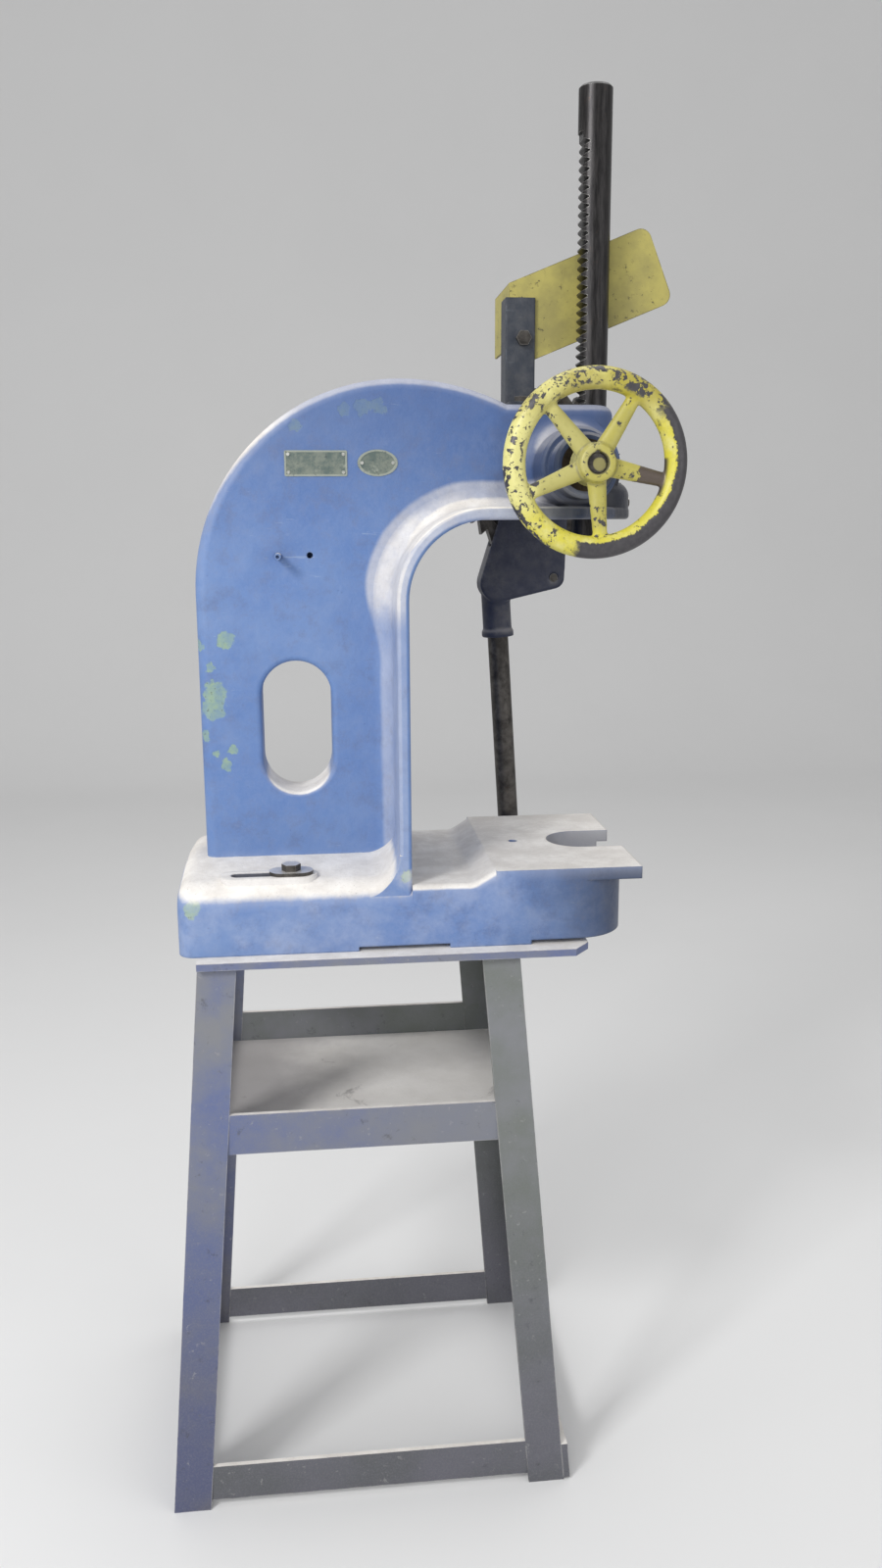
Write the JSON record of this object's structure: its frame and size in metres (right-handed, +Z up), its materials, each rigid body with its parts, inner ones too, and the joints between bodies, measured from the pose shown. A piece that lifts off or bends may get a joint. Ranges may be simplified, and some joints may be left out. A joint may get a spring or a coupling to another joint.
{
  "type": "ratchet arbor press",
  "caption": "Ratchet arbor press: cast C-frame with toothed ram, pinion, spoked handwheel and long ratchet lever, bolted to a splayed angle-iron stand",
  "frame": {"origin": "On the floor, below the middle of the whole machine's box", "axes": "+Z up along the ram; +X to the front, where the ram and table are; -Y to the operator's handwheel side, +Y to the ratchet lever side"},
  "size_m": [0.722, 0.426, 1.9],
  "materials": {
    "casting_paint": "old blue enamel on cast iron, worn and dusty",
    "wheel_paint": "yellow enamel, chipped to dark iron along the rim",
    "guard_paint": "dull yellow paint with dark specks",
    "stand_paint": "thin grey-blue paint over mill scale, dusty",
    "dark_steel": "oily dark machined steel",
    "bright_steel": "worn bright steel",
    "bronze": "oiled bearing bronze",
    "plate_metal": "tarnished bare plate",
    "brake_fibre": "pressed brake fibre"
  },
  "bodies": {
    "frame": {"bush_far": "bronze", "bush_near": "bronze", "foot_bolts": "dark_steel", "foot_nuts": "dark_steel", "foot_washers": "dark_steel", "guard_bolt": "dark_steel", "guard_nut": "dark_steel", "guard_plate": "guard_paint", "guard_post": "guard_paint", "leg_front_far": "stand_paint", "leg_front_near": "stand_paint", "leg_rear_far": "stand_paint", "leg_rear_near": "stand_paint", "low_rail_far": "stand_paint", "low_rail_front": "stand_paint", "low_rail_near": "stand_paint", "low_rail_rear": "stand_paint", "mid_rail_far": "stand_paint", "mid_rail_front": "stand_paint", "mid_rail_near": "stand_paint", "mid_rail_rear": "stand_paint", "name_plate": "plate_metal", "oval_badge": "plate_metal", "plate_rivets": "bright_steel", "post_screw": "dark_steel", "press_frame": "casting_paint", "ram_brake_pad": "brake_fibre", "ram_brake_screw": "dark_steel", "side_stud": "dark_steel", "stand_shelf": "stand_paint", "stand_top_plate": "stand_paint"},
    "drive": {"pinion_shaft": "bright_steel", "handwheel": "wheel_paint", "handwheel_key": "bright_steel", "handwheel_set_screw": "dark_steel", "ratchet_wheel": "dark_steel", "ratchet_key": "bright_steel", "shaft_collar": "dark_steel", "collar_set_screw": "dark_steel"},
    "ram": {"ram": "dark_steel"},
    "lever": {"lever_head": "casting_paint", "lever_bar": "bright_steel", "lever_clamp_screws": "dark_steel", "pawl_pin": "bright_steel"},
    "pawl": {"pawl": "dark_steel"}
  },
  "joints": [
    {"name": "handwheel_turn", "type": "hinge", "parent": "frame", "child": "drive", "pos_m": [0.211, 0, 1.419], "axis": [0, 1, 0], "range_deg": [0, 1080]},
    {"name": "ram_slide", "type": "slide", "parent": "frame", "child": "ram", "axis": [0, 0, 1], "range_m": [-0.4002, 0]},
    {"name": "lever_swing", "type": "hinge", "parent": "frame", "child": "lever", "pos_m": [0.211, 0, 1.419], "axis": [0, 1, 0], "continuous": true},
    {"name": "pawl_swing", "type": "hinge", "parent": "lever", "child": "pawl", "pos_m": [0.231, 0.1775, 1.267], "axis": [0, 1, 0], "range_deg": [0, 16]}
  ],
  "couplings": [
    {"joint": "ram_slide", "follows": "handwheel_turn", "m_per_rad": -0.021223}
  ]
}
